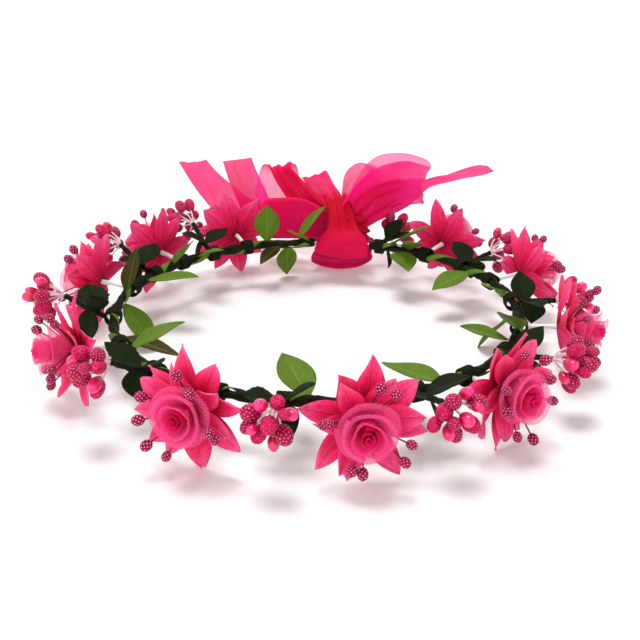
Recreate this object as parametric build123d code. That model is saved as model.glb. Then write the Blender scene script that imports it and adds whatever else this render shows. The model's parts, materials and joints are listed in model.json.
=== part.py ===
from build123d import *
import math
import os

# Flower crown: a taped wire ring, open at the back, that carries ten fabric flowers, ten berry
# sprays, a leaf vine and a sheer ribbon bow. Millimetres. The origin is the centre of the head
# opening in the plane of the ring. +Z is up, -Y is the front and the bow is at +Y.
# An angle on the ring counts from the front (-Y) and is positive towards +X.

os.makedirs("parts", exist_ok=True)

# Driving dimensions -----------------------------------------------------------------------
RING_RADIUS = 90.0            # centreline of the wire ring
CORE_WIRE_RADIUS = 1.2
TAPE_RADIUS = 2.2             # outside of the floral tape
WIRE_END_ANGLE = 172.0        # the wire stops here on each side of the back
TAPE_END_ANGLE = 170.5
EYE_RADIUS = 3.0              # centreline of the small eye at each end of the wire
TABLE_Z = -20.5               # lowest level: what the crown rests on

COLLAR_BORE_RADIUS = 2.3      # stem wire wound round the tape, free to turn on it
COLLAR_OUTER_RADIUS = 3.1
COLLAR_LENGTH = 5.0

FLOWER_ANGLES = [-147, -122, -96, -54, -15, 18, 49, 85, 120, 150]
FLOWER_TILT = 6.0             # the flowers look a little upwards
FLOWER_RADIUS = 21.5          # tip of an outer petal from the flower's axis
STEM_RADIUS = 1.0
PETAL_THICKNESS = 0.5

# ring angle of each berry spray, and how high its wires branch above the ring
SPRAYS = [(-134.5, 11), (-109, 12), (-74, 11), (-35, 11), (1.5, 8),
          (33.5, 5), (67, 2), (103, 0), (135, 3), (167, 0)]
SPRAY_REACH = 20.0            # ring centreline to the point where the wires branch
TAPED_STEM_RADIUS = 1.1
BERRY_WIRE_RADIUS = 0.4
# each berry: outwards, sideways and upwards from the branching point, and its radius
BERRIES = [(14.0, 0.0, 0.5, 3.2), (9.0, 6.3, 2.5, 3.0), (9.0, -6.3, 2.0, 3.3),
           (8.0, 3.2, 7.4, 2.8), (9.5, -3.4, 6.8, 3.0), (10.0, 4.4, -4.6, 3.2),
           (10.5, -4.0, -4.8, 2.9), (7.5, 0.4, -9.0, 2.8), (7.0, -7.8, -3.6, 2.6)]

# dark leaves of a spray: place along its stem, heading, pitch and length; beside the knot they
# all turn away from it
DARK_LEAVES = [(0.30, 78, 32, 17), (0.34, -80, 22, 17), (0.45, 60, -70, 15)]
DARK_LEAVES_BY_KNOT = [(0.34, -80, 22, 17), (0.60, -35, 62, 15), (0.45, -60, -70, 15)]
DARK_LEAF_WIDTH = 11.0

LEAF_THICKNESS = 0.5
BAND_THICKNESS = 0.5          # vine ribbon wrapped round the tape at the foot of each leaf
BAND_LENGTH = 3.0
# each leaf of the vine: ring angle, heading in plan (0 outwards, 180 inwards, 90 along the ring),
# pitch above the level, length and width
LEAVES_LEFT = [(-168.5, 125, 29, 17, 9), (-165, -135, 34, 26, 13), (-161.5, 10, -74, 19, 10),
               (-158, 130, -12, 17, 9), (-154, 165, 72, 25, 13), (-127.5, -150, 26, 15, 8),
               (-117.5, 176, 48, 23, 9), (-103, 180, 10, 28, 13), (-90.5, 140, 64, 26, 8),
               (-86, 150, -46, 26, 12), (-59, 158, -14, 26, 11), (-49.5, 170, 24, 24, 13)]
LEAVES_RIGHT = [(7, -155, 18, 26, 14), (42, -160, -2, 27, 13), (74, -150, 18, 22, 10),
                (80, -100, 42, 24, 12), (95, 150, -46, 26, 13), (109, -140, 25, 22, 8),
                (130, 180, -10, 22, 13), (155.5, -143, 36, 19, 10), (159, -145, -6, 22, 12),
                (163, -98, 30, 28, 12)]

RIBBON_WIDTH = 24.0
RIBBON_THICKNESS = 0.8
LOOP_TIP_RADIUS = 2.0         # how wide a loop is where it leaves the knot


def on_ring(angle):
    """Frame on the ring: local X outwards, local Y along the ring, local Z up."""
    a = math.radians(angle)
    return Location((RING_RADIUS * math.sin(a), -RING_RADIUS * math.cos(a), 0), (0, 0, angle - 90))


def save(name, solids):
    """Write one node: a single solid, or a group of separate solids."""
    shape = solids[0] if len(solids) == 1 else Compound(children=solids)
    export_step(shape, f"parts/{name}.step")


def rod(start, end, radius):
    """Round rod from one point to another."""
    start, end = Vector(*start), Vector(*end)
    plane = Plane(origin=start, z_dir=end - start)
    return plane * Cylinder(radius, (end - start).length, align=(Align.CENTER, Align.CENTER, Align.MIN))


def ring_arc(radius, end_angle):
    """Round bar of the given radius along the ring, open at the back."""
    start = on_ring(-end_angle).position
    path = ThreePointArc(start, on_ring(0).position, on_ring(end_angle).position)
    return sweep(Plane(origin=start, z_dir=path % 0) * Circle(radius), path=path)


def pointed_oval(length, width, thickness):
    """Leaf or petal from the origin along +X, lying in XY, centred on its thickness."""
    arc_out = ThreePointArc((0, 0), (length * 0.5, width / 2), (length, 0))
    arc_back = ThreePointArc((length, 0), (length * 0.5, -width / 2), (0, 0))
    return extrude(make_face([arc_out, arc_back]), thickness / 2, both=True)


def blade(start, heading, pitch, length, width):
    """Leaf that starts at a point and points along a heading and a pitch, face up."""
    place = Location(start) * Rot(0, 0, heading) * Rot(0, -pitch, 0)
    return place * pointed_oval(length, width, LEAF_THICKNESS)


def collar(outer_radius, bore_radius, length):
    """Sleeve round the ring at the local origin, with its bore along local Y."""
    tube = Cylinder(outer_radius, length) - Cylinder(bore_radius, length)
    return Rot(90, 0, 0) * tube


# Ring -------------------------------------------------------------------------------------
def core_wire():
    wire = ring_arc(CORE_WIRE_RADIUS, WIRE_END_ANGLE)
    for side in (-1, 1):
        eye_place = on_ring(side * WIRE_END_ANGLE) * Location((0, side * EYE_RADIUS, 0))
        wire += eye_place * (Rot(0, 90, 0) * Torus(EYE_RADIUS, CORE_WIRE_RADIUS))
    return wire


def ring_tape():
    return ring_arc(TAPE_RADIUS, TAPE_END_ANGLE) - ring_arc(CORE_WIRE_RADIUS, WIRE_END_ANGLE)


def leaf_vine(leaves):
    """Leaves, each one solid with the band of ribbon that holds it on the tape."""
    solids = []
    for angle, heading, pitch, length, width in leaves:
        h, p = math.radians(heading), math.radians(pitch)
        across = Vector(math.cos(p) * math.cos(h), 0, math.sin(p)).normalized()
        start = across * (TAPE_RADIUS + BAND_THICKNESS * 0.4)
        band = collar(TAPE_RADIUS + BAND_THICKNESS, TAPE_RADIUS, BAND_LENGTH)
        solids.append(on_ring(angle) * (band + blade(start, heading, pitch, length, width)))
    return solids


# Flower, built along local X from the ring's centreline --------------------------------------
PETAL_HUB_X = 15.5            # back of the outer layer
INNER_HUB_X = 17.8            # back of the inner layer
ROSE_BACK_X = 22.0
HUB_RADIUS = 4.2
HUB_THICKNESS = 1.0
STAMEN_COUNT = 7
STAMEN_TIP = (31.0, 15.0)     # distance out, and distance from the flower's axis
PIP_RADIUS = 1.6


def petal_layer(count, hub_x, reach, width, cup_angle):
    """One layer of pointed petals, fused at its hub and cupped outwards."""
    root = 2.0
    length = (reach - root) / math.cos(math.radians(cup_angle))
    layer = Location((hub_x, 0, 0)) * (Rot(0, 90, 0) * Cylinder(
        HUB_RADIUS, HUB_THICKNESS, align=(Align.CENTER, Align.CENTER, Align.MIN)))
    for i in range(count):
        turn = Location((hub_x + HUB_THICKNESS / 2, 0, 0)) * Rot(90 + 360 * i / count, 0, 0)
        petal = Rot(0, 0, 90 - cup_angle) * Rot(90, 0, 0) * pointed_oval(length, width, PETAL_THICKNESS)
        layer += turn * (Location((0, root, 0)) * petal)
    return layer - rod((0, 0, 0), (INNER_HUB_X + 4, 0, 0), STEM_RADIUS)


def rose():
    """Rolled ribbon rose as a closed bud, turned about the flower's axis."""
    profile = Polyline((22, 0), (22, 2.2), (26, 5.6), (29.5, 9.4), (34, 9.4), (37, 6.6), (37, 0), close=True)
    return revolve(make_face(profile), Axis.X)


def flower_stem():
    """Stem with the collar on the ring and the stamens that its wire bundles."""
    stem = collar(COLLAR_OUTER_RADIUS, COLLAR_BORE_RADIUS, COLLAR_LENGTH)
    stem += rod((COLLAR_BORE_RADIUS + 0.4, 0, 0), (ROSE_BACK_X, 0, 0), STEM_RADIUS)
    out, off_axis = STAMEN_TIP
    for i in range(STAMEN_COUNT):
        a = math.radians(360 * (i + 0.35) / STAMEN_COUNT)
        tip = (out, off_axis * math.cos(a), off_axis * math.sin(a))
        stem += rod((19.6, 0, 0), tip, BERRY_WIRE_RADIUS) + Location(tip) * Sphere(PIP_RADIUS)
    return stem


# Berry spray, built along local X from the ring's centreline ---------------------------------
def spray_leaves(rise, leaves):
    """Taped stem with its collar and its dark leaves, fused."""
    branch = Vector(SPRAY_REACH, 0, rise)
    start = branch.normalized() * (COLLAR_BORE_RADIUS + 0.4)
    stem = collar(COLLAR_OUTER_RADIUS, COLLAR_BORE_RADIUS, COLLAR_LENGTH)
    stem += rod(start, branch, TAPED_STEM_RADIUS)
    for along, heading, pitch, length in leaves:
        stem += blade(branch * along, heading, pitch, length, DARK_LEAF_WIDTH)
    return stem


def spray_berries(rise):
    """Berries on their wires, which meet in one bundle at the branching point."""
    bundle = Location((SPRAY_REACH, 0, rise)) * Sphere(TAPED_STEM_RADIUS)
    for out, side, up, radius in BERRIES:
        berry = (SPRAY_REACH + out, side, rise + up)
        bundle += rod((SPRAY_REACH, 0, rise), berry, BERRY_WIRE_RADIUS) + Location(berry) * Sphere(radius)
    return bundle


# Bow --------------------------------------------------------------------------------------
KNOT_CENTRE = (0.0, 106.0, 4.0)
KNOT_SIZE = (21.0, 19.0, 16.0)
STRAP_RADIUS = 1.3            # gathered ribbon that passes through the wire's two eyes
WRAP_LENGTH = 28.0            # ribbon folded forwards over the two eyes, along the ring
WRAP_TOP_Z = 5.5
WRAP_BOTTOM_Z = -6.5


def ribbon_loop(start, end, end_radius, width):
    """Upright band of ribbon: a teardrop in plan from the knot to its round end."""
    def teardrop(inset):
        small = Pos(*start) * Circle(LOOP_TIP_RADIUS - inset)
        large = Pos(*end) * Circle(end_radius - inset)
        return make_hull(small.edges() + large.edges())
    return extrude(teardrop(0) - teardrop(RIBBON_THICKNESS), width)


def bow_loops_left():
    front = Pos(0, 0, -1) * ribbon_loop((-6, 103), (-29, 110), 8, RIBBON_WIDTH)
    back = Pos(0, 0, 10) * ribbon_loop((-6, 111), (-34, 135), 10, RIBBON_WIDTH)
    return [front, back]


def bow_loops_right():
    upper = Pos(0, 0, 19) * ribbon_loop((3, 113), (30, 124), 10.5, RIBBON_WIDTH + 1)
    back = Pos(0, 0, 10) * ribbon_loop((1, 113), (5, 140), 8.5, RIBBON_WIDTH)
    upper_foot = Pos(3, 113, 15.5) * Cylinder(LOOP_TIP_RADIUS, 9)
    return [upper + upper_foot, back]


def bow_knot():
    """Knot, the strap through the two eyes, and the ribbon folded over them in front."""
    knot = Pos(*KNOT_CENTRE) * fillet(Box(*KNOT_SIZE).edges(), 3)
    eye = (on_ring(WIRE_END_ANGLE) * Location((0, EYE_RADIUS, 0))).position
    front_y, back_y = eye.Y - 4, KNOT_CENTRE[1] - KNOT_SIZE[1] / 2 + 4
    knot += rod((-eye.X, front_y, 0), (eye.X, front_y, 0), STRAP_RADIUS)
    for side in (-1, 1):
        knot += Pos(side * eye.X, front_y, 0) * Sphere(STRAP_RADIUS)
        knot += rod((side * eye.X, front_y, 0), (side * eye.X, back_y, 0), STRAP_RADIUS)
    wrap_y = front_y - STRAP_RADIUS / 2
    wrap_height, wrap_depth = WRAP_TOP_Z - WRAP_BOTTOM_Z, back_y - wrap_y
    low_corner = (Align.CENTER, Align.MIN, Align.MIN)
    knot += Pos(0, wrap_y, WRAP_BOTTOM_Z) * Box(WRAP_LENGTH, RIBBON_THICKNESS, wrap_height, align=low_corner)
    roof_z = WRAP_TOP_Z - RIBBON_THICKNESS
    knot += Pos(0, wrap_y, roof_z) * Box(WRAP_LENGTH, wrap_depth, RIBBON_THICKNESS, align=low_corner)
    return knot


def hanging_loop():
    """Loop of ribbon under the knot, whose bottom fold lies on the table."""
    depth = 14.0
    def outline(inset):
        top = Pos(0, -3) * Circle(4 - inset)
        low_left = Pos(-17, TABLE_Z + 3.5) * Circle(3.5 - inset)
        low_right = Pos(14, TABLE_Z + 3.5) * Circle(3.5 - inset)
        return make_hull(top.edges() + low_left.edges() + low_right.edges())
    band = extrude(outline(0) - outline(RIBBON_THICKNESS), depth)
    return Pos(0, 114, 0) * (Rot(90, 0, 0) * band)


def ribbon_run(start, end, flat):
    """Flat run of ribbon between two points, standing on edge or lying flat."""
    start, end = Vector(*start), Vector(*end)
    run = end - start
    heading = math.degrees(math.atan2(run.Y, run.X))
    pitch = math.degrees(math.asin(run.Z / run.length))
    width, thickness = RIBBON_WIDTH - 2, RIBBON_THICKNESS
    section = (run.length, width, thickness) if flat else (run.length, thickness, width)
    place = Location((start + end) * 0.5) * Rot(0, 0, heading) * Rot(0, -pitch, 0)
    return place * Box(*section)


def tail(points, twist=False):
    """Tail of ribbon: one run on edge out of the knot, one to the tip, which may lie flat."""
    knot_end, bend, tip = points
    fold = Location(bend) * Cylinder(RIBBON_THICKNESS, RIBBON_WIDTH - 2)
    return ribbon_run(knot_end, bend, False) + fold + ribbon_run(bend, tip, twist)


# Write every node ---------------------------------------------------------------------------
save("ring_core_wire", [core_wire()])
save("ring_tape", [ring_tape()])
save("leaf_vine_left", leaf_vine(LEAVES_LEFT))
save("leaf_vine_right", leaf_vine(LEAVES_RIGHT))
save("bow_knot", [bow_knot() + hanging_loop()])
save("bow_loops_left", bow_loops_left())
save("bow_loops_right", bow_loops_right())
save("tail_left_front", [tail([(-4.6, 114.5, 3), (-22, 152, 6), (-96, 149, 25)])])
save("tail_left_back", [tail([(-2.9, 114.5, 4), (-13, 160, 12), (-70, 161, 28)])])
save("tail_right", [tail([(7, 113, 3), (30, 146, 12), (76, 150, 31)], twist=True)])

outer_petals = petal_layer(8, PETAL_HUB_X, FLOWER_RADIUS, 10.5, 13)
inner_petals = petal_layer(6, INNER_HUB_X, 15.5, 9.0, 28)
flower_rose = rose()
stem_with_stamens = flower_stem()

for number, angle in enumerate(FLOWER_ANGLES, start=1):
    place = on_ring(angle) * Rot(0, -FLOWER_TILT, 0)
    save(f"flower_{number:02d}_petals", [place * outer_petals, place * inner_petals])
    save(f"flower_{number:02d}_rose", [place * flower_rose])
    save(f"flower_{number:02d}_stem", [place * stem_with_stamens])

for number, (angle, rise) in enumerate(SPRAYS, start=1):
    place = on_ring(angle)
    leaves = DARK_LEAVES_BY_KNOT if number == len(SPRAYS) else DARK_LEAVES
    save(f"spray_{number:02d}_leaves", [place * spray_leaves(rise, leaves)])
    save(f"spray_{number:02d}_berries", [place * spray_berries(rise)])
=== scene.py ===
"""Looks of the flower crown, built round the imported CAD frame.

Geometry is worked out in millimetres in the crown's own frame and written to the meshes in metres.
An item on the ring is built in a local frame: X outwards, Y along the ring, Z up.
"""
import json
import math
import random

import bmesh
import bpy
import numpy as np
from mathutils import Matrix, Vector, noise


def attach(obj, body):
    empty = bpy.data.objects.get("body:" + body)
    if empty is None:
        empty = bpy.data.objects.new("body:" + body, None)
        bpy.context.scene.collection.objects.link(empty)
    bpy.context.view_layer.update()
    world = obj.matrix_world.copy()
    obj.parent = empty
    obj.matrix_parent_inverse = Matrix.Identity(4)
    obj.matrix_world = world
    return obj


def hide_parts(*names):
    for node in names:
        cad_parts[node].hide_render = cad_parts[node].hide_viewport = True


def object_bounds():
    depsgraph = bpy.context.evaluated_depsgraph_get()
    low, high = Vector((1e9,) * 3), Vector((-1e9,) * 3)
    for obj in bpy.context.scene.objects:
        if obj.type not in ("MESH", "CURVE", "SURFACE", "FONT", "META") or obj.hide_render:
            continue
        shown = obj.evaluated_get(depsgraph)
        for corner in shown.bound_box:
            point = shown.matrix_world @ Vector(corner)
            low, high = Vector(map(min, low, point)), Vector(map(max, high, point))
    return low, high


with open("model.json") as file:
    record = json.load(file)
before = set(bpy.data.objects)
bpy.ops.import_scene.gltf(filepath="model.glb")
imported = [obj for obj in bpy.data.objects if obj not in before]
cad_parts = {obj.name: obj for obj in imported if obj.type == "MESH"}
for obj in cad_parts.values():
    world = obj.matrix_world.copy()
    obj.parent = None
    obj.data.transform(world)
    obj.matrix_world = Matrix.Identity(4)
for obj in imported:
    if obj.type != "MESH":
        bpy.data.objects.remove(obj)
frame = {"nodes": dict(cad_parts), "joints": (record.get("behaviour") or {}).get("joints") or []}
cad_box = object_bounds()

MM = 0.001
ROOT = "crown"

# Ring, as in the CAD (millimetres, degrees)
RING_RADIUS = 90.0
TAPE_RADIUS = 2.2
TAPE_END_ANGLE = 170.5
FLOWER_TILT = 6.0
FLOWER_COUNT = 10

# A flower's seed is its number plus this. Three flowers have another one, found by trial: with the
# plain seed they overlapped a neighbour, at rest or at a joint limit. The trials did not cover
# neighbours at opposite limits.
FIRST_FLOWER_SEED = 20
OTHER_FLOWER_SEEDS = {1: 151, 2: 102, 9: 49}
FIRST_LEAF_SEED = 100
FIRST_SPRAY_SEED = 40
FIRST_LOOSE_LEAF_SEED = 500
FIRST_RIBBON_SEED = 70

SPRAY_REACH = 20.0
SPRAY_RISES = [11, 12, 11, 11, 8, 5, 2, 0, 3, 0]
# each berry: outwards, sideways and upwards from the branching point, and its radius.
# The last two are small extra berries, which the CAD does not have.
BERRIES = [(14.0, 0.0, 0.5, 3.2), (9.0, 6.3, 2.5, 3.0), (9.0, -6.3, 2.0, 3.3),
           (8.0, 3.2, 7.4, 2.8), (9.5, -3.4, 6.8, 3.0), (10.0, 4.4, -4.6, 3.2),
           (10.5, -4.0, -4.8, 2.9), (7.5, 0.4, -9.0, 2.8), (7.0, -7.8, -3.6, 2.6),
           (13.5, 4.8, 4.4, 2.2), (13.6, -5.2, -0.2, 2.3)]
# dark leaves: place along the stem, heading, pitch, length. Beside the knot they turn away from it.
DARK_LEAVES = [(0.30, 78, 32, 17), (0.34, -80, 22, 17), (0.45, 60, -70, 15)]
DARK_LEAVES_BY_KNOT = [(0.34, -80, 22, 17), (0.60, -48, 50, 14), (0.45, -60, -70, 15)]
DARK_LEAF_WIDTH = 12.0
# leaves of the vine: ring angle, heading (0 outwards, 90 along the ring), pitch, length, width, shade
VINE_LEAVES = [(-168.5, 125, 29, 17, 9, 0.5), (-165, -80, 50, 23, 13, 0.6), (-161.5, 10, -74, 19, 11, 0.8),
               (-158, 130, -12, 17, 9, -0.6), (-154, 165, 72, 25, 13, 0.4), (-127.5, -150, 26, 15, 8, 0.7),
               (-117.5, 176, 48, 23, 9, 0.6), (-103, 180, 10, 28, 13, 0.9), (-90.5, 140, 64, 26, 9, -1.0),
               (-86, 150, -46, 26, 13, 0.7), (-59, 158, -14, 26, 12, -0.8), (-49.5, 170, 24, 24, 13, 0.9),
               (7, -155, 18, 26, 14, 0.8), (42, -160, -2, 27, 14, 0.6), (74, -150, 18, 22, 10, 0.7),
               (80, -100, 42, 24, 12, 0.5), (95, 150, -46, 26, 13, 0.9), (109, -140, 25, 22, 9, 0.3),
               (130, 180, -10, 22, 13, 0.6), (155.5, -143, 36, 19, 10, 0.5), (159, -145, -6, 22, 13, 0.8),
               (163, -98, 30, 28, 12, 0.7)]

# Thickness of the cloth sheets (millimetres)
PETAL_THICKNESS = 0.22
LEAF_THICKNESS = 0.3
VINE_BAND_THICKNESS = 0.25
RIBBON_THICKNESS = 0.12

# Stem wire wound round the ring as a collar (millimetres)
COLLAR_TURNS = 5.5
COLLAR_PITCH = 0.95
COLLAR_WIRE_RADIUS = 0.45
COLLAR_CLEARANCE = 0.85


# Placing ------------------------------------------------------------------------------------
def ring_axes(angle):
    """Outward and along-the-ring directions at a ring angle."""
    a = math.radians(angle)
    return np.array([math.sin(a), -math.cos(a), 0.0]), np.array([math.cos(a), math.sin(a), 0.0])


def on_ring(angle):
    """Local frame of an item on the ring, as a 4x4 matrix in millimetres."""
    out, along = ring_axes(angle)
    m = Matrix.Identity(4)
    for row in range(3):
        m[row][0], m[row][1] = out[row], along[row]
        m[row][3] = RING_RADIUS * out[row]
    return m


def joint_angle(body):
    """Ring angle of the bend joint that carries a body."""
    joint = next(j for j in frame["joints"] if j["child"] == body)
    x, y, _ = joint["pos_m"]
    return math.degrees(math.atan2(x, -y))


def moved(matrix, points):
    """Points after a 4x4 matrix, any leading shape."""
    m = np.array(matrix, float)
    return np.asarray(points, float) @ m[:3, :3].T + m[:3, 3]


# Meshes -------------------------------------------------------------------------------------
class Piece:
    """Gathers grids, tubes and beads into one mesh, with the facts that its material reads:
    along (0 to 1), across (-1 to 1) and tint (any number)."""

    def __init__(self):
        self.points, self.faces, self.facts = [], [], []

    def add(self, points, faces, along, across, tint):
        first = sum(len(p) for p in self.points)
        self.points.append(np.asarray(points, float).reshape(-1, 3))
        count = len(self.points[-1])
        self.faces += [tuple(first + i for i in face) for face in faces]
        columns = [np.broadcast_to(np.asarray(f, float).ravel(), (count,)) for f in (along, across, tint)]
        self.facts.append(np.stack(columns, axis=1))

    def grid(self, points, tint, wrap=False, caps=False):
        rows, cols = points.shape[:2]
        faces = []
        for i in range(rows - 1):
            for j in range(cols if wrap else cols - 1):
                k = (j + 1) % cols
                faces.append((i * cols + j, i * cols + k, (i + 1) * cols + k, (i + 1) * cols + j))
        if caps:
            faces.append(tuple(reversed(range(cols))))
            faces.append(tuple(range((rows - 1) * cols, rows * cols)))
        along = np.repeat(np.linspace(0, 1, rows), cols)
        across = np.tile(np.linspace(-1, 1, cols), rows)
        self.add(points, faces, along, across, tint)

    def tube(self, path, radii, sides, tint=0.0):
        """Round tube with closed ends along a path; radii is a number or one per point."""
        path = np.asarray(path, float)
        radii = np.broadcast_to(np.asarray(radii, float), (len(path),))
        tangents = np.gradient(path, axis=0)
        tangents /= np.linalg.norm(tangents, axis=1)[:, None]
        side = np.cross(tangents[0], (0.31, 0.22, 0.92))
        rings = []
        for point, tangent, radius in zip(path, tangents, radii):
            side = side - tangent * (side @ tangent)
            side /= np.linalg.norm(side)
            up = np.cross(tangent, side)
            turn = np.linspace(0, 2 * math.pi, sides, endpoint=False)[:, None]
            rings.append(point + radius * (np.cos(turn) * side + np.sin(turn) * up))
        self.grid(np.array(rings), tint, wrap=True, caps=True)

    def make(self, name, material, body, slot, nodes=(), thickness=0.0):
        """Turn what was gathered into an object that rides on a body and may stand in for CAD nodes."""
        mesh = bpy.data.meshes.new(name)
        mesh.from_pydata((np.concatenate(self.points) * MM).tolist(), [], self.faces)
        for column, fact in enumerate(("along", "across", "tint")):
            values = np.concatenate(self.facts)[:, column].astype(np.float32)
            mesh.attributes.new(fact, "FLOAT", "POINT").data.foreach_set("value", values)
        mesh.polygons.foreach_set("use_smooth", [True] * len(mesh.polygons))
        mesh.materials.append(material)
        piece = bpy.data.objects.new(name, mesh)
        bpy.context.scene.collection.objects.link(piece)
        if thickness:
            shell = piece.modifiers.new("thickness", "SOLIDIFY")
            shell.thickness = thickness * MM
            shell.offset = 0.0
        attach(piece, body)
        if nodes:
            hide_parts(*nodes)
        return piece


def smooth_path(controls, count):
    """Even samples of a Catmull-Rom curve through given points (any number of columns)."""
    p = np.asarray(controls, float)
    p = np.vstack([2 * p[0] - p[1], p, 2 * p[-1] - p[-2]])
    samples = []
    for t in np.linspace(0, len(p) - 3 - 1e-9, count):
        i, f = int(t), t - int(t)
        a, b, c, d = p[i:i + 4]
        samples.append(0.5 * (2 * b + (c - a) * f + (2 * a - 5 * b + 4 * c - d) * f ** 2
                              + (3 * b - a - 3 * c + d) * f ** 3))
    return np.array(samples)


def ball(subdivisions):
    """Points and faces of a unit icosphere."""
    bm = bmesh.new()
    bmesh.ops.create_icosphere(bm, subdivisions=subdivisions, radius=1.0)
    points = np.array([v.co[:] for v in bm.verts])
    faces = [tuple(v.index for v in f.verts) for f in bm.faces]
    bm.free()
    return points, faces


def spread_directions(count):
    """Evenly spread directions on a sphere, on a golden-angle spiral."""
    k = np.arange(count) + 0.5
    polar, turn = np.arccos(1 - 2 * k / count), math.pi * (1 + 5 ** 0.5) * k
    return np.stack([np.cos(turn) * np.sin(polar), np.sin(turn) * np.sin(polar), np.cos(polar)], axis=1)


def seeded_ball(subdivisions, seeds, seed_angle, height):
    """Unit ball with raised round seeds; returns points, faces and how much each point is seed."""
    points, faces = ball(subdivisions)
    nearest = np.arccos(np.clip((points @ spread_directions(seeds).T).max(axis=1), -1, 1))
    seed = np.clip(1.5 - nearest / seed_angle, 0, 1)
    return points * (1 + height * np.sqrt(seed))[:, None], faces, seed


def grainy_ball(subdivisions, grain, height):
    """Unit ball covered in small grains."""
    points, faces = ball(subdivisions)
    lift = np.array([noise.noise(Vector(p) * grain) for p in points])
    return points * (1 + height * lift)[:, None], faces, np.clip(0.5 + lift, 0, 1)


def bud_ball():
    """Smooth unit ball drawn out to a blunt point at -Z, where its wire enters."""
    points, faces = ball(3)
    points = points.copy()
    taper = np.clip(-points[:, 2], 0, 1)
    points[:, :2] *= (1 - 0.45 * taper ** 1.5)[:, None]
    return points, faces, np.clip(points[:, 2], -1, 1)


def aim(centre, direction, scale, stretch):
    """Matrix that puts a unit ball at a centre with its Z along a direction, stretched that way."""
    turn = Vector(direction).to_track_quat("Z", "Y").to_matrix().to_4x4()
    return Matrix.Translation(Vector(centre)) @ turn @ Matrix.Diagonal((scale, scale, scale * stretch, 1))


# Materials ----------------------------------------------------------------------------------
class Shader:
    """Short way to write a node material with one Principled shader."""

    def __init__(self, name, **sockets):
        self.material = bpy.data.materials.new(name)
        self.material.use_nodes = True
        self.tree = self.material.node_tree
        self.bsdf = self.tree.nodes["Principled BSDF"]
        for socket, value in sockets.items():
            self.bsdf.inputs[socket.replace("_", " ")].default_value = value

    def node(self, kind, inputs=None, **settings):
        made = self.tree.nodes.new(kind)
        for key, value in settings.items():
            setattr(made, key, value)
        for key, value in (inputs or {}).items():
            if isinstance(value, bpy.types.NodeSocket):
                self.tree.links.new(value, made.inputs[key])
            else:
                made.inputs[key].default_value = value
        return made

    def fact(self, name):
        return self.node("ShaderNodeAttribute", attribute_name=name).outputs["Fac"]

    def math(self, operation, a, b=0.0):
        return self.node("ShaderNodeMath", {0: a, 1: b}, operation=operation).outputs[0]

    def place(self):
        return self.node("ShaderNodeTexCoord").outputs["Object"]

    def noise(self, scale, detail=3.0, rough=0.6):
        inputs = {"Vector": self.place(), "Scale": scale, "Detail": detail, "Roughness": rough}
        return self.node("ShaderNodeTexNoise", inputs).outputs["Fac"]

    def cells(self, scale):
        return self.node("ShaderNodeTexVoronoi", {"Vector": self.place(), "Scale": scale}).outputs["Distance"]

    def ramp(self, value, *stops):
        made = self.node("ShaderNodeValToRGB", {"Fac": value})
        ramp = made.color_ramp
        while len(ramp.elements) < len(stops):
            ramp.elements.new(0.5)
        for element, (position, colour) in zip(ramp.elements, stops):
            element.position = position
            element.color = (*colour, 1.0)
        return made.outputs["Color"]

    def mix(self, share, a, b, mode="MIX"):
        made = self.node("ShaderNodeMix", data_type="RGBA", blend_type=mode)
        for index, value in ((0, share), (6, a), (7, b)):
            if isinstance(value, bpy.types.NodeSocket):
                self.tree.links.new(value, made.inputs[index])
            else:
                made.inputs[index].default_value = value if index == 0 else (*value, 1.0)
        return made.outputs[2]

    def link(self, output, socket):
        self.tree.links.new(output, self.bsdf.inputs[socket])

    def bump(self, height, strength, distance):
        made = self.node("ShaderNodeBump", {"Strength": strength, "Distance": distance, "Height": height})
        self.link(made.outputs["Normal"], "Normal")


def weave(shader, pitch):
    """Fine cross-hatched thread pattern, 0 to 1, with a given thread pitch in metres."""
    waves = []
    for direction in ("X", "Y", "Z"):
        inputs = {"Vector": shader.place(), "Scale": 0.31 / pitch, "Distortion": 1.2, "Detail": 1.0}
        waves.append(shader.node("ShaderNodeTexWave", inputs, bands_direction=direction).outputs["Fac"])
    total = shader.math("ADD", shader.math("ADD", waves[0], waves[1]), waves[2])
    return shader.math("MULTIPLY", total, 0.333)


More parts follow.
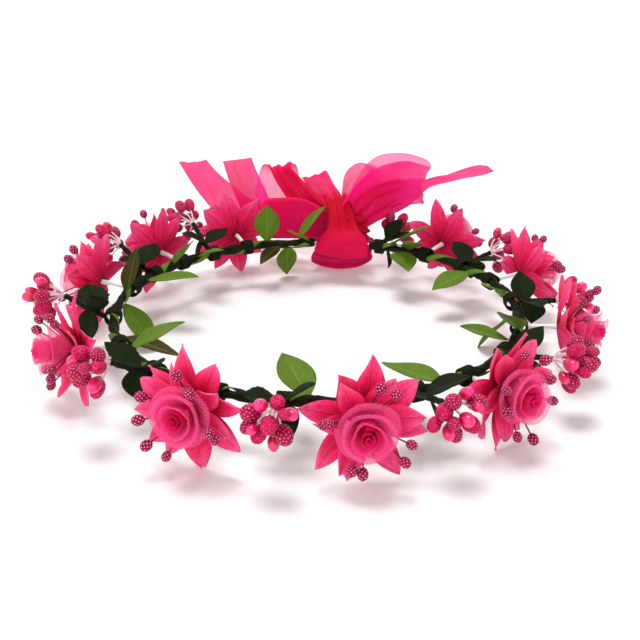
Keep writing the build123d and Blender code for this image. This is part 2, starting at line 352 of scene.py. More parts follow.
def petal_satin():
    s = Shader("petal_satin", Roughness=0.6, Specular_IOR_Level=0.10, Sheen_Weight=0.06,
               Sheen_Roughness=0.4, Sheen_Tint=(1.0, 0.75, 0.82, 1.0), Subsurface_Weight=0.25,
               Subsurface_Scale=0.002, Subsurface_Radius=(1.0, 0.25, 0.35))
    # darker towards the petal's foot: painted shade near the middle of the flower
    depth = s.ramp(s.fact("along"), (0.0, (0.42, 0.001, 0.028)), (0.30, (0.80, 0.007, 0.09)),
                   (0.62, (0.97, 0.036, 0.18)), (1.0, (1.0, 0.15, 0.34)))
    # dark at the petal's middle: painted shade in its folded crease; the thin darker line further out is a
    # printed vein
    crease_shade_and_veins = s.ramp(s.math("ABSOLUTE", s.fact("across")), (0.0, (0.66, 0.42, 0.52)),
                    (0.10, (0.95, 0.88, 0.92)), (0.50, (1.0, 1.0, 1.0)), (0.58, (0.93, 0.80, 0.85)),
                    (0.66, (1.0, 1.0, 1.0)), (0.97, (1.0, 1.0, 1.0)), (1.0, (0.88, 0.70, 0.78)))
    colour = s.mix(1.0, depth, crease_shade_and_veins, "MULTIPLY")
    speckle = s.math("MULTIPLY", s.math("ADD", s.noise(380), s.noise(1500, 2.0)), 0.5)
    wander = s.math("ADD", s.math("MULTIPLY", s.fact("across"), 30.0), s.math("MULTIPLY", s.noise(250), 9.0))
    fibres = s.math("MULTIPLY", s.math("SINE", wander), 0.035)
    blotch = s.ramp(s.math("ADD", speckle, fibres), (0.40, (0.86, 0.52, 0.68)), (0.54, (1.0, 1.0, 1.0)))
    s.link(s.mix(1.0, colour, blotch, "MULTIPLY"), "Base Color")
    cloth = s.math("ADD", weave(s, 0.0004), s.noise(900))
    s.bump(s.math("ADD", cloth, s.math("MULTIPLY", fibres, 9.0)), 0.5, 0.0003)
    return s.material


def organza(name, dense_and_shaded, middle, sheer, alphas):
    """Sheer woven cloth: tint says how sheer it is, from 0 (gathered, deep colour, partly painted shade) to 1
    (one thin layer).
    """
    s = Shader(name, Roughness=0.6, Specular_IOR_Level=0.10, Sheen_Weight=0.03, Sheen_Roughness=0.35,
               Sheen_Tint=(1.0, 0.70, 0.82, 1.0), Subsurface_Weight=0.3, Subsurface_Scale=0.003,
               Subsurface_Radius=(1.0, 0.2, 0.4))
    rim = s.ramp(s.math("ABSOLUTE", s.fact("across")), (0.0, (0, 0, 0)), (0.93, (0, 0, 0)), (0.97, (1, 1, 1)))
    threads = weave(s, 0.00035)
    cloudy = s.math("ADD", s.fact("tint"), s.math("MULTIPLY", s.math("SUBTRACT", s.noise(70), 0.5), 0.35))
    # a low tint gives the deep colour of gathered cloth and also painted shade
    s.link(s.ramp(cloudy, (0.0, dense_and_shaded), (0.5, middle), (1.0, sheer)), "Base Color")
    cover = s.ramp(cloudy, *((place, (a, a, a)) for place, a in zip((0.0, 0.5, 1.0), alphas)))
    woven = s.math("ADD", s.math("MULTIPLY", threads, 0.14), s.math("ADD", cover, -0.07))
    s.link(s.math("ADD", woven, s.math("MULTIPLY", rim, 0.10)), "Alpha")
    s.bump(threads, 0.25, 0.0001)
    return s.material


def leaf_cloth(name, base, light, olive, vein, roughness):
    s = Shader(name, Roughness=roughness, Specular_IOR_Level=0.10, Subsurface_Weight=0.10,
               Subsurface_Scale=0.002, Subsurface_Radius=(0.5, 1.0, 0.2))
    mottled = s.mix(s.noise(260, 5.0), base, light)
    shade = s.ramp(s.fact("tint"), (0.0, (1, 1, 1)), (0.02, (0, 0, 0)))
    body = s.mix(shade, mottled, olive)
    sideways = s.math("ABSOLUTE", s.fact("across"))
    slant = s.math("SUBTRACT", s.math("MULTIPLY", s.fact("along"), 7.0), s.math("MULTIPLY", sideways, 1.6))
    ribs = s.math("ABSOLUTE", s.math("SUBTRACT", s.math("FRACT", slant), 0.5))
    side_veins = s.ramp(ribs, (0.0, (0.55, 0.55, 0.55)), (0.07, (0, 0, 0)))
    middle = s.ramp(sideways, (0.0, (1, 1, 1)), (0.09, (0, 0, 0)))
    veins = s.math("MAXIMUM", side_veins, middle)
    s.link(s.mix(s.math("MULTIPLY", veins, 0.5), body, vein), "Base Color")
    relief = s.math("ADD", s.math("MULTIPLY", veins, -0.7), s.math("MULTIPLY", s.noise(1300), 0.5))
    s.bump(relief, 0.5, 0.0003)
    return s.material


def crepe_tape(name, dark, light):
    """Floral tape: waxed crepe with fine wrinkles, paler on its raised ridges."""
    s = Shader(name, Roughness=0.65, Specular_IOR_Level=0.12)
    wrinkles = s.noise(700, 6.0, 0.75)
    ridge = s.ramp(s.fact("tint"), (0.2, (0, 0, 0)), (0.9, (1, 1, 1)))
    s.link(s.mix(s.math("MULTIPLY", ridge, wrinkles), dark, light), "Base Color")
    s.bump(wrinkles, 0.8, 0.0005)
    return s.material


def seeded_paint(name, skin, seed):
    s = Shader(name, Roughness=0.4, Specular_IOR_Level=0.15, Coat_Weight=0.05, Coat_Roughness=0.2)
    share = s.ramp(s.fact("tint"), (0.70, (0, 0, 0)), (0.92, (1, 1, 1)))
    s.link(s.mix(share, s.mix(s.noise(500), skin, (skin[0] * 0.5, 0.0, skin[2] * 0.5)), seed), "Base Color")
    s.bump(s.noise(1500), 0.2, 0.0001)
    return s.material


def sugar_paint():
    s = Shader("sugar_berry", Roughness=0.5, Specular_IOR_Level=0.15, Coat_Weight=0.05, Coat_Roughness=0.2)
    # pale spots at the grain centres: the sugar's paler colour and painted sparkle
    grains = s.ramp(s.cells(1900), (0.07, (1.0, 0.34, 0.56)), (0.24, (0.70, 0.010, 0.12)),
                    (0.70, (0.38, 0.001, 0.04)))
    s.link(grains, "Base Color")
    s.bump(s.cells(1900), 0.5, 0.0003)
    return s.material


def pearl_paint():
    s = Shader("pearl_bud", Roughness=0.32, Specular_IOR_Level=0.3, Coat_Weight=0.5, Coat_Roughness=0.08,
               Subsurface_Weight=0.3, Subsurface_Scale=0.002, Subsurface_Radius=(1.0, 0.2, 0.3))
    # darker at the wire end and paler at the tip, a painted highlight, with random mottling
    tip_highlight_and_mottle = s.ramp(s.math("ADD", s.fact("tint"), s.math("MULTIPLY", s.noise(300), 0.5)),
                   (0.0, (0.42, 0.001, 0.030)), (0.6, (0.68, 0.003, 0.085)), (1.0, (0.88, 0.018, 0.19)))
    s.link(tip_highlight_and_mottle, "Base Color")
    s.bump(s.noise(600, 2.0), 0.15, 0.0002)
    return s.material


def plain(name, colour, darker, roughness, metallic=0.0):
    """Moulded or drawn surface with faint mottling and a slightly uneven finish."""
    s = Shader(name, Metallic=metallic)
    grain = s.noise(500, 4.0)
    s.link(s.mix(grain, darker, colour), "Base Color")
    s.link(s.math("ADD", s.math("MULTIPLY", grain, 0.2), roughness - 0.1), "Roughness")
    s.bump(grain, 0.2, 0.0002)
    return s.material


PETAL = petal_satin()
RIBBON = organza("ribbon_organza", (0.60, 0.0, 0.016), (0.97, 0.003, 0.105), (1.0, 0.022, 0.28),
                 (0.95, 0.86, 0.52))
ROSE = organza("rose_organza", (0.80, 0.003, 0.085), (1.0, 0.022, 0.19), (1.0, 0.11, 0.32),
               (0.72, 0.46, 0.30))
VINE = leaf_cloth("vine_leaf", (0.048, 0.108, 0.006), (0.135, 0.215, 0.018), (0.048, 0.036, 0.004),
                  (0.21, 0.30, 0.045), 0.6)
DARK = leaf_cloth("dark_leaf", (0.0035, 0.0070, 0.0008), (0.0085, 0.0165, 0.0016), (0.0035, 0.0070, 0.0008),
                  (0.013, 0.025, 0.004), 0.7)
TAPE = crepe_tape("floral_tape", (0.0040, 0.0060, 0.0008), (0.0150, 0.0260, 0.0030))
PIP = seeded_paint("stamen_pip", (0.36, 0.0, 0.060), (1.0, 0.48, 0.70))
SEEDED = seeded_paint("seeded_berry", (0.50, 0.0, 0.070), (1.0, 0.60, 0.78))
SUGAR = sugar_paint()
PEARL = pearl_paint()
FILAMENT = plain("stamen_thread", (0.20, 0.004, 0.03), (0.10, 0.002, 0.015), 0.6)
STEM = plain("stem_plastic", (0.86, 0.85, 0.82), (0.74, 0.73, 0.70), 0.35)
BERRY_WIRE = plain("berry_wire", (0.85, 0.72, 0.74), (0.75, 0.45, 0.52), 0.5)
STEEL = plain("wire_steel", (0.58, 0.57, 0.55), (0.36, 0.35, 0.34), 0.35, metallic=1.0)

PIP_BALL = seeded_ball(4, 44, 0.165, 0.12)
SEEDED_BALL = seeded_ball(4, 92, 0.12, 0.09)
SUGAR_BALL = grainy_ball(4, 9.0, 0.10)
BUD_BALL = bud_ball()
# berries of a spray: material, ball, share of the listed radius, and stretch along the wire
BERRY_KINDS = {"sugar_berries": (SUGAR, SUGAR_BALL, 0.92, 1.5), "pearl_buds": (PEARL, BUD_BALL, 0.80, 1.6),
               "seeded_berries": (SEEDED, SEEDED_BALL, 0.94, 1.3)}


# Leaves -------------------------------------------------------------------------------------
def leaf_half_width(u, widest=0.45, fullness=0.95):
    """Outline of a pointed leaf or petal: 0 at both ends, 1 at its widest."""
    rise = np.sin(np.clip(u / widest, 0, 1) * math.pi / 2) ** 0.85
    fall = np.cos(np.clip((u - widest) / (1 - widest), 0, 1) * math.pi / 2) ** fullness
    return np.where(u < widest, rise, fall)


def leaf_grid(place, start, heading, pitch, length, width, rng, teeth=0.0):
    """Leaf from a start point: folded at its middle vein, arched along its length."""
    rows, cols = 19, 11
    u = np.linspace(0, 1, rows)[:, None]
    v = np.linspace(-1, 1, cols)[None, :]
    arch, roll, curl = rng.uniform(-0.06, 0.12), rng.uniform(-0.25, 0.25), rng.uniform(-0.3, 0.3)
    half = width / 2 * (leaf_half_width(u) + 0.07 * (1 - u))
    ragged = 1 + teeth * (np.sin(u * 70) * 0.5 + 0.5) * (np.abs(v) > 0.95)
    x = length * u + 0 * v
    y = half * v * ragged + curl * length * 0.15 * u ** 2
    z = 0.22 * half * np.abs(v) - arch * length * u ** 2 + roll * half * v * u
    z = z + 0.25 * np.sin(9 * u + 3 * v + rng.uniform(0, 6)) * np.abs(v) * u
    grid = np.stack([x, y, z], axis=-1)
    turn = Matrix.Rotation(math.radians(heading), 4, "Z") @ Matrix.Rotation(math.radians(-pitch), 4, "Y")
    return moved(place @ Matrix.Translation(Vector(start)) @ turn, grid)


def vine_leaves():
    """Bright leaves of the vine, one piece for each half of the crown."""
    halves = {"left": Piece(), "right": Piece()}
    for number, (angle, heading, pitch, length, width, shade) in enumerate(VINE_LEAVES):
        rng = random.Random(FIRST_LEAF_SEED + number)
        h, p = math.radians(heading), math.radians(pitch)
        across = Vector((math.cos(p) * math.cos(h), 0, math.sin(p))).normalized()
        grid = leaf_grid(on_ring(angle), across * TAPE_RADIUS, heading, pitch, length, width, rng)
        halves["left" if angle < 0 else "right"].grid(grid, shade)
    for side, piece in halves.items():
        piece.make(f"vine_leaves_{side}", VINE, ROOT, "vine_leaf", [f"leaf_vine_{side}"],
                   thickness=LEAF_THICKNESS)


def vine_band():
    """Narrow ribbon of the vine, wound round the tape in a long helix."""
    width, pitch, clear = 3.4, 31.0, 0.45
    angles = np.linspace(-168, 168, 760)
    across = np.linspace(-1, 1, 5)
    grid = []
    for angle in angles:
        out, along = ring_axes(angle)
        run = math.radians(angle) * RING_RADIUS
        turn = 2 * math.pi * run / pitch + 0.5 * math.sin(run / 17.0)
        radius = TAPE_RADIUS + clear + 0.15 * math.sin(run / 4.1)
        row = []
        for v in across:
            theta = turn + v * 0.32
            radial = radius * (math.cos(theta) * out + math.sin(theta) * np.array([0, 0, 1.0]))
            row.append(RING_RADIUS * out + radial - along * v * width * 0.42)
        grid.append(row)
    piece = Piece()
    piece.grid(np.array(grid), 0.7)
    piece.make("vine_band", VINE, ROOT, "vine_leaf", thickness=VINE_BAND_THICKNESS)


# Ring ---------------------------------------------------------------------------------------
def taped_ring():
    """Tape wound over the core wire and stem ends: a two-strand twist with spiral tape edges."""
    sides, lap, strand = 22, 8.5, 21.0
    grid, ridges = [], []
    for angle in np.linspace(-TAPE_END_ANGLE, TAPE_END_ANGLE, 1100):
        out, _ = ring_axes(angle)
        run = math.radians(angle) * RING_RADIUS
        lump = 0.22 * math.sin(run / 5.3) + 0.16 * math.sin(run / 2.1 + 1.0)
        row = []
        for k in range(sides):
            theta = 2 * math.pi * k / sides
            phase = (run / lap + theta / (2 * math.pi)) % 1.0
            edge = (1 - phase) ** 3
            twist = math.cos(2 * theta - 2 * math.pi * run / strand)
            radius = TAPE_RADIUS - 0.35 + 0.28 * edge + 0.36 * twist + lump * (0.5 + 0.5 * twist)
            radial = math.cos(theta) * out + math.sin(theta) * np.array([0, 0, 1.0])
            row.append(RING_RADIUS * out + radius * radial)
            ridges.append(0.6 * edge + 0.4 * (0.5 + 0.5 * twist))
        grid.append(row)
    piece = Piece()
    piece.grid(np.array(grid), 0.0, wrap=True, caps=True)
    piece.facts[0][:, 2] = ridges
    piece.make("taped_ring", TAPE, ROOT, "floral_tape", ["ring_tape"])


def coil(piece, place):
    """Stem wire wound round the ring at an item's foot."""
    t = np.linspace(0, 2 * math.pi * COLLAR_TURNS, int(22 * COLLAR_TURNS))
    reach = TAPE_RADIUS + COLLAR_CLEARANCE + COLLAR_WIRE_RADIUS
    y = (t / (2 * math.pi) - COLLAR_TURNS / 2) * COLLAR_PITCH
    path = np.stack([reach * np.cos(t), y, reach * np.sin(t)], axis=1)
    piece.tube(moved(place, path), COLLAR_WIRE_RADIUS, 7, 0.5)


# Flowers ------------------------------------------------------------------------------------
def petal_grid(turn, hub_x, length, half_width, lean_from, lean_to, rng):
    """One pointed petal from the flower's axis: pleated lengthwise, leaning outwards, with a limp tip."""
    rows, cols = 19, 13
    u = np.linspace(0, 1, rows)
    v = np.linspace(-1, 1, cols)[None, :]
    lean = np.radians(lean_from + (lean_to - lean_from) * u ** 1.3)
    step = length / (rows - 1)
    reach = 1.2 + np.concatenate([[0], np.cumsum(np.cos(lean[1:]) * step)])
    depth = hub_x + np.concatenate([[0], np.cumsum(np.sin(lean[1:]) * step)])
    half = half_width * (0.94 * leaf_half_width(u, 0.55, 0.8) + 0.22 * (1 - u) ** 2)[:, None]
    u = u[:, None]
    fold, sway, twist = rng.uniform(0.05, 0.50), rng.uniform(-2.8, 2.8), rng.uniform(-0.85, 0.85) * u ** 2
    ripple = rng.uniform(0, 6)
    side = half * v * np.cos(twist) + sway * u ** 2
    pleats = 0.10 * np.cos(3.2 * math.pi * v) * (1 - 0.5 * u)
    lift = half * (fold * np.abs(v) ** 1.2 + pleats + v * np.sin(twist))
    lift = lift + 0.9 * np.sin(5 * u + 2.5 * v + ripple) * np.abs(v) * u
    x = depth[:, None] + lift * np.cos(lean)[:, None]
    rho = reach[:, None] - lift * np.sin(lean)[:, None]
    c, s = math.cos(turn), math.sin(turn)
    return np.stack([x, rho * c - side * s, rho * s + side * c], axis=-1)


def rose_petal_grid(turn, span, radius, low, top, flare, rng):
    """One wrapped petal of the rolled rose: a bowl segment whose upper edge rolls outwards."""
    rows, cols = 13, 25
    s = np.linspace(-1, 1, cols)[None, :]
    t = np.linspace(0, 1, rows)[:, None]
    ripple = (0.40 * np.sin(4 * s + rng.uniform(0, 6)) + 0.14 * np.sin(11 * s + rng.uniform(0, 6))) * t ** 1.5
    opening = 2.0 + (radius - 2.0) * (1 - (1 - t) ** 2.1)
    r = opening * (1 - 0.10 * s - 0.10 * s ** 2) + ripple
    height = (top - low) * (1 - 0.20 * s ** 2 - 0.10 * s)
    roll = np.clip((t - 0.72) / 0.28, 0, 1) ** 2
    x = low + height * np.sin(t * math.pi / 2) ** 0.9 - 0.35 * flare * roll
    r = r + flare * roll
    a = turn + s * span / 2
    return np.stack([x + 0 * s, r * np.cos(a), r * np.sin(a)], axis=-1)


def rose_heart_grid(low, top):
    """Tightly rolled ribbon in the middle of the rose."""
    turns, rows, cols = 2.3, 8, 70
    q = np.linspace(0, 1, cols)[None, :]
    t = np.linspace(0, 1, rows)[:, None]
    a = q * turns * 2 * math.pi
    r = (0.15 + 3.15 * q) * (0.75 + 0.25 * t) + 0.5 * np.clip((t - 0.7) / 0.3, 0, 1) ** 2
    x = low + (top - low - 1.6 * q) * t
    return np.stack([x + 0 * a, r * np.cos(a), r * np.sin(a)], axis=-1)


# petal layers: count, offset in petals, uneven turn, hub and its step, range of length, range of half
# width, lean at the foot and range of lean at the tip
OUTER_PETALS = (8, 0.0, 0.13, (15.8, 0.5), (21.5, 24.0), (4.6, 5.7), 6, (-12, 42))
INNER_PETALS = (6, 0.5, 0.20, (17.8, 0.4), (18.0, 21.0), (4.2, 5.2), 16, (8, 54))
# layers of the rose from the inside: count, span, radius, top, flare
ROSE_LAYERS = ((2, 3.7, 5.2, 35.8, 0.9), (2, 4.0, 7.8, 34.0, 1.5), (2, 4.0, 9.5, 30.5, 1.8))
ROSE_BASE = 19.5
ROSE_HEART = (24.0, 36.4)
STAMEN_COUNT = 8


def petal_layer(place, first, layer, rng):
    """One ring of petals round the flower's axis."""
    count, offset, uneven, (hub, hub_step), lengths, half_widths, lean_from, lean_to = layer
    petals = Piece()
    for i in range(count):
        turn = first + (i + offset) * 2 * math.pi / count + rng.uniform(-uneven, uneven)
        grid = petal_grid(turn, hub + hub_step * (i % 2), rng.uniform(*lengths),
                          rng.uniform(*half_widths), lean_from, rng.uniform(*lean_to), rng)
        petals.grid(moved(place, grid), rng.random())
    return petals


def flower(name, seed):
    """Petals, rose, stem, collar and stamens of one flower."""
    rng = random.Random(seed)
    place = on_ring(joint_angle(name)) @ Matrix.Rotation(math.radians(-FLOWER_TILT), 4, "Y")

    first = rng.uniform(0, math.pi / 4)
    outer = petal_layer(place, first, OUTER_PETALS, rng)
    outer.make(f"{name}_outer_petals", PETAL, name, "petal", [f"{name}_petals"],
               thickness=PETAL_THICKNESS)
    inner = petal_layer(place, first, INNER_PETALS, rng)
    inner.make(f"{name}_inner_petals", PETAL, name, "petal", thickness=PETAL_THICKNESS)

    lean = Matrix.Translation((20, 0, 0)) @ Matrix.Rotation(rng.uniform(-0.22, 0.22), 4, "Z")
    lean = lean @ Matrix.Rotation(rng.uniform(-0.22, 0.22), 4, "Y") @ Matrix.Translation((-20, 0, 0))
    bloom = Piece()
    start = rng.uniform(0, 6)
    for count, span, radius, top, flare in ROSE_LAYERS:
        start += 0.6
        for i in range(count):
            grid = rose_petal_grid(start + i * 2 * math.pi / count, span, radius, ROSE_BASE,
                                   top + rng.uniform(-0.8, 0.5), flare, rng)
            # inner layers and the heart get a lower tint, a deeper colour: partly layering, partly painted
            # shade inside the rose
            bloom.grid(moved(place @ lean, grid), 0.3 + 0.08 * radius + rng.uniform(-0.15, 0.15))
    bloom.grid(moved(place @ lean, rose_heart_grid(*ROSE_HEART)), 0.15)
    bloom.make(f"{name}_rolled_rose", ROSE, name, "organza_rose", [f"{name}_rose"],
               thickness=RIBBON_THICKNESS)

    stem = Piece()
    stem.tube(moved(place, [(3.1, 0, 0), (6, 0.1, 0.1), (11, 0, 0.2), (15, 0, 0), (17.5, 0, 0)]),
              [1.05, 1.0, 1.0, 1.15, 1.5], 14)
    stem.make(f"{name}_white_stem", STEM, name, "stem", [f"{name}_stem"])
    collar = Piece()
    coil(collar, place)
    collar.make(f"{name}_collar", TAPE, name, "floral_tape")

    threads, pips = Piece(), Piece()
    points, faces, seeds = PIP_BALL
    for i in range(STAMEN_COUNT):
        a = math.pi / 2 * (i // 2 + 0.8) + (0.22 if i % 2 else -0.22) + rng.uniform(-0.25, 0.25)
        reach, out = rng.uniform(13.8, 16.6), rng.uniform(27.0, 32.5)
        tip = np.array([out, reach * math.cos(a), reach * math.sin(a)])
        bend = np.array([out - 7, 0.42 * reach * math.cos(a), 0.42 * reach * math.sin(a)])
        path = smooth_path([(18.5, 0.3 * math.cos(a), 0.3 * math.sin(a)), bend, tip], 9)
        threads.tube(moved(place, path), 0.3, 6)
        bead = aim(tip, path[-1] - path[-2], rng.uniform(1.6, 1.95), 1.2)
        pips.add(moved(place @ bead, points), faces, 0.0, 0.0, seeds)
    threads.make(f"{name}_stamen_threads", FILAMENT, name, "stem")
    pips.make(f"{name}_stamen_pips", PIP, name, "berry")


# Berry sprays -------------------------------------------------------------------------------
def spray(name, rise, leaves, seed):
    """Taped stem, dark leaves, wires and berries of one spray."""
    rng = random.Random(seed)
    place = on_ring(joint_angle(name))
    branch = np.array([SPRAY_REACH, 0, rise], float)

    stalk = Piece()
    sag = np.array([9.0, 0.4, rise * 0.35])
    path = smooth_path([(3.3, 0, 0.3), sag, branch], 16)
    stalk.tube(moved(place, path), 1.25 + 0.16 * np.sin(np.arange(16) * 2.1), 10, 0.5)
    coil(stalk, place)
    stalk.make(f"{name}_taped_stem", TAPE, name, "floral_tape")

    blades = Piece()
    loose = random.Random(FIRST_LOOSE_LEAF_SEED + seed)
    for number, (along, heading, pitch, length) in enumerate(leaves):
        heading, pitch = heading + loose.uniform(-13, 13), pitch + loose.uniform(-8, 8)
        length, width = length * loose.uniform(0.86, 1.1), DARK_LEAF_WIDTH * loose.uniform(0.88, 1.08)
        teeth = 0.16 if number == 1 else 0.0
        grid = leaf_grid(place, branch * along, heading, pitch, length, width, rng, teeth)
        blades.grid(grid, 0.5)
    blades.make(f"{name}_dark_leaves", DARK, name, "dark_leaf", [f"{name}_leaves"],
                thickness=LEAF_THICKNESS)

    wires = Piece()
    pieces = {kind: Piece() for kind in BERRY_KINDS}
    order = list(BERRY_KINDS)
    for number, (out, side, up, radius) in enumerate(BERRIES):
        kind = order[(number + seed) % len(order)]
        _, (points, faces, fact), share, stretch = BERRY_KINDS[kind]
        jitter = np.array([rng.uniform(-0.8, 0.8) for _ in range(3)])
        centre = branch + np.array([out, side, up]) + jitter
        direction = centre - branch
        foot = centre - direction / np.linalg.norm(direction) * radius * 0.9
        middle = (branch + foot) / 2 + np.array([-0.8, 0.0, 0.6])
        wires.tube(moved(place, smooth_path([branch, middle, foot], 8)), 0.38, 6)
        bead = aim(centre, direction, radius * share, stretch)
        pieces[kind].add(moved(place @ bead, points), faces, 0.0, 0.0, fact)
    wires.make(f"{name}_berry_wires", BERRY_WIRE, name, "berry")
    for kind, piece in pieces.items():
        replaced = [f"{name}_berries"] if kind == order[0] else ()
        piece.make(f"{name}_{kind}", BERRY_KINDS[kind][0], name, "berry", replaced)


# Bow ----------------------------------------------------------------------------------------
RIBBON_WIDTH = 25.0
RIBBON_ROWS, RIBBON_COLUMNS = 110, 19
LOWEST_RIBBON = -20.4
# Each run of ribbon: its CAD node, how sheer it looks at its start and end, and pairs of points on its
# two edges. A low value gives a deeper red: layered cloth, and painted shade on the knot and the lower loops.
RUNS = {
    "upper_left_loop": ("bow_loops_left", (0.3, 1.35), [
        ((-4, 98, 2), (-3, 100, 11)), ((-15, 100, 7), (-10, 104, 15)), ((-28, 103, 15), (-18, 106, 23)),
        ((-38, 107, 26), (-27, 109, 31)), ((-44, 111, 34), (-32, 113, 34.5)),
        ((-49, 117, 33), (-30, 118, 33.5)), ((-52, 119, 26), (-29, 120, 26)),
        ((-54, 120, 14), (-31, 121, 13)), ((-46, 121, 4), (-28, 122, 0)),
        ((-28, 118, 1), (-20, 118, -6)), ((-5, 110, 4), (-5, 110, -3))]),
    "lower_left_loop": ("bow_loops_left", (0.32, 0.5), [
        ((-4, 98, 10), (-4, 99, 0)), ((-13, 97, 17), (-12, 98, -4)), ((-24, 98, 21), (-23, 99, -3)),
        ((-37, 101, 20), (-36, 102, -4)), ((-47, 107, 17), (-46, 108, -6)), ((-50, 115, 12), (-50, 116, -9)),
        ((-42, 123, 10), (-43, 123, -10)), ((-26, 121, 11), (-27, 120, -8)), ((-13, 114, 9), (-13, 114, -6)),
        ((-4, 106, 8), (-4, 106, -2))]),
    "upper_right_loop": ("bow_loops_right", (0.7, 1.25), [
        ((-4, 100, 13), (4, 100, 3)), ((1, 100, 24), (13, 101, 10)), ((9, 103, 34), (20, 105, 14)),
        ((20, 107, 40), (27, 109, 18)), ((31, 112, 41), (34, 113, 17)), ((38, 117, 38), (40, 119, 16)),
        ((42, 125, 35), (38, 129, 12)), ((37, 135, 37), (38, 132, 13)), ((27, 136, 39), (26, 133, 16)),
        ((13, 130, 37), (14, 127, 14)), ((3, 116, 24), (6, 117, 8)), ((0, 106, 10), (3, 107, 2))]),
    "inner_right_loop": ("bow_loops_right", (0.45, 1.1), [
        ((0, 98, 12), (6, 98, 3)), ((7, 99, 23), (13, 101, 7)), ((15, 102, 29), (20, 105, 12)),
        ((24, 106, 31), (26, 109, 16)), ((29, 113, 30), (30, 115, 16)), ((26, 119, 28), (27, 120, 15)),
        ((17, 118, 25), (17, 118, 12)), ((5, 108, 11), (6, 108, 4))]),
    "back_loop": ("bow_loops_right", (0.9, 0.9), [
        ((-2, 104, 12), (3, 104, 6)), ((-4, 112, 23), (8, 112, 15)), ((-3, 122, 30), (14, 121, 18)),
        ((3, 131, 33), (18, 130, 17)), ((11, 139, 30), (19, 138, 12)), ((8, 143, 25), (14, 143, 6)),
        ((1, 135, 14), (6, 135, -4)), ((-2, 118, 8), (4, 118, -2))]),
    "left_front_tail": ("tail_left_front", (0.55, 0.7), [
        ((-5, 113, 0), (-5, 113, 12)), ((-20, 128, -6), (-21, 133, 10)), ((-42, 133, -12), (-43, 142, 6)),
        ((-60, 131, -11), (-58, 146, 3)), ((-74, 127, -4), (-68, 146, 7)), ((-86, 125, 10), (-78, 145, 15)),
        ((-101, 125, 31), (-90, 145, 28))]),
    "left_back_tail": ("tail_left_back", (0.55, 0.7), [
        ((-3, 115, 0), (-3, 115, 13)), ((-14, 134, -6), (-14, 138, 12)), ((-34, 140, -12), (-34, 148, 7)),
        ((-52, 138, -10), (-46, 152, 1)), ((-64, 134, -2), (-53, 153, 2)), ((-70, 133, 12), (-58, 152, 12)),
        ((-77, 133, 31), (-64, 152, 29))]),
    "right_tail": ("tail_right", (0.55, 0.65), [
        ((5, 113, 0), (6, 114, 12)), ((17, 127, 2), (15, 133, 19)), ((32, 132, 11), (28, 146, 22)),
        ((45, 132, 23), (42, 153, 22)), ((60, 131, 29), (55, 154, 25)), ((78, 131, 34), (68, 153, 31))]),
    "short_end": ("tail_left_front", (0.5, 0.7), [
        ((-8, 108, 4), (0, 108, 9)), ((-14, 114, 12), (-3, 114, 18)), ((-21, 121, 18), (-9, 122, 23)),
        ((-28, 126, 25), (-14, 128, 29))]),
    "knot_and_wrap": ("bow_knot", (0.05, 0.25), [
        ((-8, 111, 7), (5, 111, 9)), ((-12, 105, 20), (0, 105, 23)), ((-10, 97, 17), (4, 96, 18)),
        ((-9, 91, 9), (8, 90, 10)), ((-12, 86, 5), (12.5, 86, 6)), ((-14, 84, -1), (14.5, 84, 0)),
        ((-13.5, 86, -7), (13.5, 86, -7)), ((-9, 95, -9), (9, 95, -9)), ((-6, 104, -8), (6, 104, -8))]),
    "knot_cross_fold": ("bow_knot", (0.1, 0.1), [
        ((-11, 111, -3), (-11, 109, 8)), ((-12, 101, -3), (-12, 101, 12)), ((-5, 95, -4), (-5, 94, 14)),
        ((5, 94.5, -4), (5, 94, 14)), ((12, 100, -3), (12, 100, 12)), ((11, 111, -3), (11, 109, 8))]),
    "hanging_loop": ("bow_knot", (0.4, 0.5), [
        ((-2, 101, -3), (-3, 113, -3)), ((-11, 101, -7), (-10, 115, -6)), ((-17, 102, -11), (-15, 117, -8)),
        ((-18, 101, -15.5), (-16, 118, -11)), ((-7, 100, -17), (-7, 119, -12)),
        ((7, 101, -16.8), (7, 118, -12)), ((14, 102, -14), (12, 117, -10)), ((12, 102, -10), (11, 116, -7)),
        ((6, 101, -6), (6, 114, -6)), ((1, 101, -3), (1, 112, -3))]),
}


def ribbon_run(name, node, sheerness_and_shade, edges, seed):
    """One run of sheer ribbon between its two edge curves, pleated where it is gathered."""
    rng = random.Random(seed)
    samples = smooth_path([(*a, *b) for a, b in edges], RIBBON_ROWS)
    first, second = samples[:, None, :3], samples[:, None, 3:]
    v = np.linspace(-1, 1, RIBBON_COLUMNS)[None, :, None]
    run = np.linspace(0, 1, RIBBON_ROWS)[:, None, None]
    width = np.linalg.norm(second - first, axis=2, keepdims=True)
    centre = (first + second) / 2
    tangent = np.gradient(centre[:, 0], axis=0)[:, None]
    normal = np.cross(tangent, second - first)
    normal /= np.linalg.norm(normal, axis=2, keepdims=True)
    gather = np.clip(1 - width / RIBBON_WIDTH, 0, 1)
    phase = rng.uniform(0, 6)
    pleat = (gather + 0.13) * (1.7 * np.sin(v * 8 + phase) + 0.7 * np.sin(v * 17 + 2 * phase))
    drift = 0.7 * np.sin(run * 11 + phase) * v + 0.35 * np.sin(run * 23 + 3 * v + phase)
    crown = -1.9 * v ** 2 * (1 - gather)
    grid = centre + (second - first) / 2 * v + normal * (pleat + drift + crown)
    grid[..., 2] = np.maximum(grid[..., 2], LOWEST_RIBBON)
    piece = Piece()
    first_share, last_share = sheerness_and_shade
    # a lower share is a deeper red, partly layered cloth and partly painted shade
    share = first_share + (last_share - first_share) * np.clip(2.5 * run - 0.75, 0, 1)
    piece.grid(grid, (share - 0.45 * gather + 0 * v)[..., 0])
    made = piece.make(f"bow_{name}", RIBBON, ROOT, "organza_ribbon", [node],
                      thickness=RIBBON_THICKNESS)


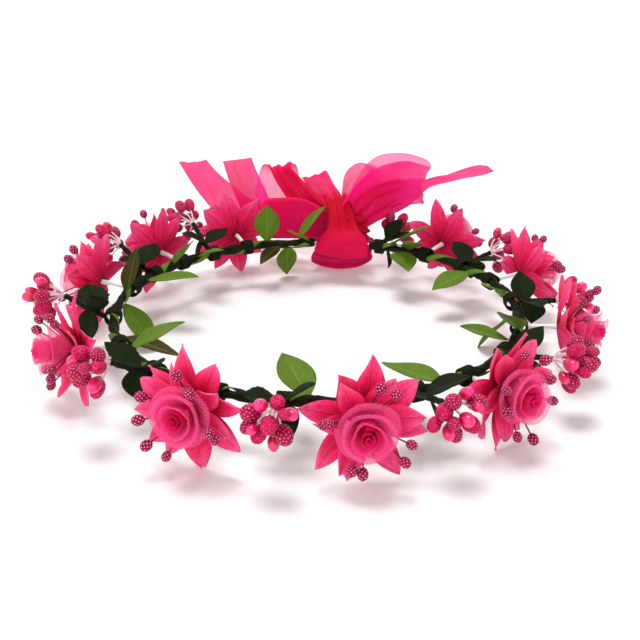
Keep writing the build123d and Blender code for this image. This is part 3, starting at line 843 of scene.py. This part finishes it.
# Floor, light and camera --------------------------------------------------------------------
CAMERA_AZIMUTH = 9.0          # degrees from the front towards +X
CAMERA_ELEVATION = 22.7
CAMERA_DISTANCE = 433.0
LENS, SENSOR = 53.94375, 36.0
SHIFT = (0.006, -0.0203)

# The stage is in metres
FLOOR_SIZE, FLOOR_GAP = 8.0, 0.0004
WALL_RADIUS, WALL_HEIGHT, WALL_CENTRE = 3.9, 3.0, 1.4
WALL_GLOW, SKY_STRENGTH = 0.5, 0.25
SUN_PLACE, SUN_STRENGTH, SUN_ANGLE = (-0.15, 0.15, 1.0), 2.25, 26
FILL_PLACE, FILL_POWER, FILL_SIZE = (-0.45, -0.8, 0.6), 2.6, 0.6


def studio():
    """White floor inside a round, softly glowing white wall."""
    low, _ = cad_box
    bpy.ops.mesh.primitive_plane_add(size=FLOOR_SIZE, location=(0, 0, low.z - FLOOR_GAP))
    floor = bpy.context.object
    floor.name = "floor"
    s = Shader("floor_white", Roughness=0.45)
    s.link(s.ramp(s.noise(3.0), (0.0, (0.90, 0.90, 0.90)), (1.0, (0.93, 0.93, 0.93))), "Base Color")
    floor.data.materials.append(s.material)
    bpy.ops.mesh.primitive_cylinder_add(vertices=96, radius=WALL_RADIUS, depth=WALL_HEIGHT,
                                        end_fill_type="NOTHING",
                                        location=(0, 0, low.z + WALL_CENTRE))
    wall = bpy.context.object
    wall.name = "wall"
    glow = Shader("wall_white", Roughness=0.6, Emission_Strength=WALL_GLOW)
    glow.link(glow.ramp(glow.noise(1.0), (0.0, (0.97, 0.97, 0.97)), (1.0, (1.0, 1.0, 1.0))), "Base Color")
    glow.bsdf.inputs["Emission Color"].default_value = (1.0, 1.0, 1.0, 1.0)
    wall.data.materials.append(glow.material)

    world = bpy.data.worlds.new("studio")
    bpy.context.scene.world = world
    world.use_nodes = True
    world.node_tree.nodes["Background"].inputs["Color"].default_value = (1, 1, 1, 1)
    world.node_tree.nodes["Background"].inputs["Strength"].default_value = SKY_STRENGTH
    add_light("overhead", "SUN", SUN_PLACE, SUN_STRENGTH).angle = math.radians(SUN_ANGLE)
    add_light("front_fill", "AREA", FILL_PLACE, FILL_POWER).size = FILL_SIZE


def add_light(name, kind, place, energy):
    """Light that shines from a place towards the origin."""
    light = bpy.data.lights.new(name, kind)
    light.energy = energy
    lamp = bpy.data.objects.new(name, light)
    lamp.location = place
    lamp.rotation_mode = "QUATERNION"
    lamp.rotation_quaternion = (-Vector(place)).to_track_quat("-Z", "Y")
    bpy.context.scene.collection.objects.link(lamp)
    return light


def camera():
    """Camera in front of the crown and above it, turned a little towards +X, aimed at the origin."""
    a, e = math.radians(CAMERA_AZIMUTH), math.radians(CAMERA_ELEVATION)
    back = Vector((math.sin(a) * math.cos(e), -math.cos(a) * math.cos(e), math.sin(e)))
    data = bpy.data.cameras.new("camera")
    data.sensor_width = SENSOR
    data.lens = LENS
    data.shift_x, data.shift_y = SHIFT
    data.clip_start, data.clip_end = 0.01, 20.0
    eye = bpy.data.objects.new("camera", data)
    eye.rotation_mode = "QUATERNION"
    eye.location = back * CAMERA_DISTANCE * MM
    eye.rotation_quaternion = (-back).to_track_quat("-Z", "Y")
    bpy.context.scene.collection.objects.link(eye)
    bpy.context.scene.camera = eye


camera()
studio()
scene = bpy.context.scene
scene.view_settings.view_transform = "Standard"
scene.cycles.transparent_max_bounces = 48

core = frame["nodes"]["ring_core_wire"]
core.data.materials.clear()
core.data.materials.append(STEEL)

taped_ring()
vine_band()
vine_leaves()
for number in range(1, FLOWER_COUNT + 1):
    flower(f"flower_{number:02d}", OTHER_FLOWER_SEEDS.get(number, FIRST_FLOWER_SEED + number))
for number, rise in enumerate(SPRAY_RISES, start=1):
    leaves = DARK_LEAVES_BY_KNOT if number == len(SPRAY_RISES) else DARK_LEAVES
    spray(f"spray_{number:02d}", rise, leaves, FIRST_SPRAY_SEED + number)
for number, (name, (node, sheerness_and_shade, edges)) in enumerate(RUNS.items()):
    ribbon_run(name, node, sheerness_and_shade, edges, FIRST_RIBBON_SEED + number)
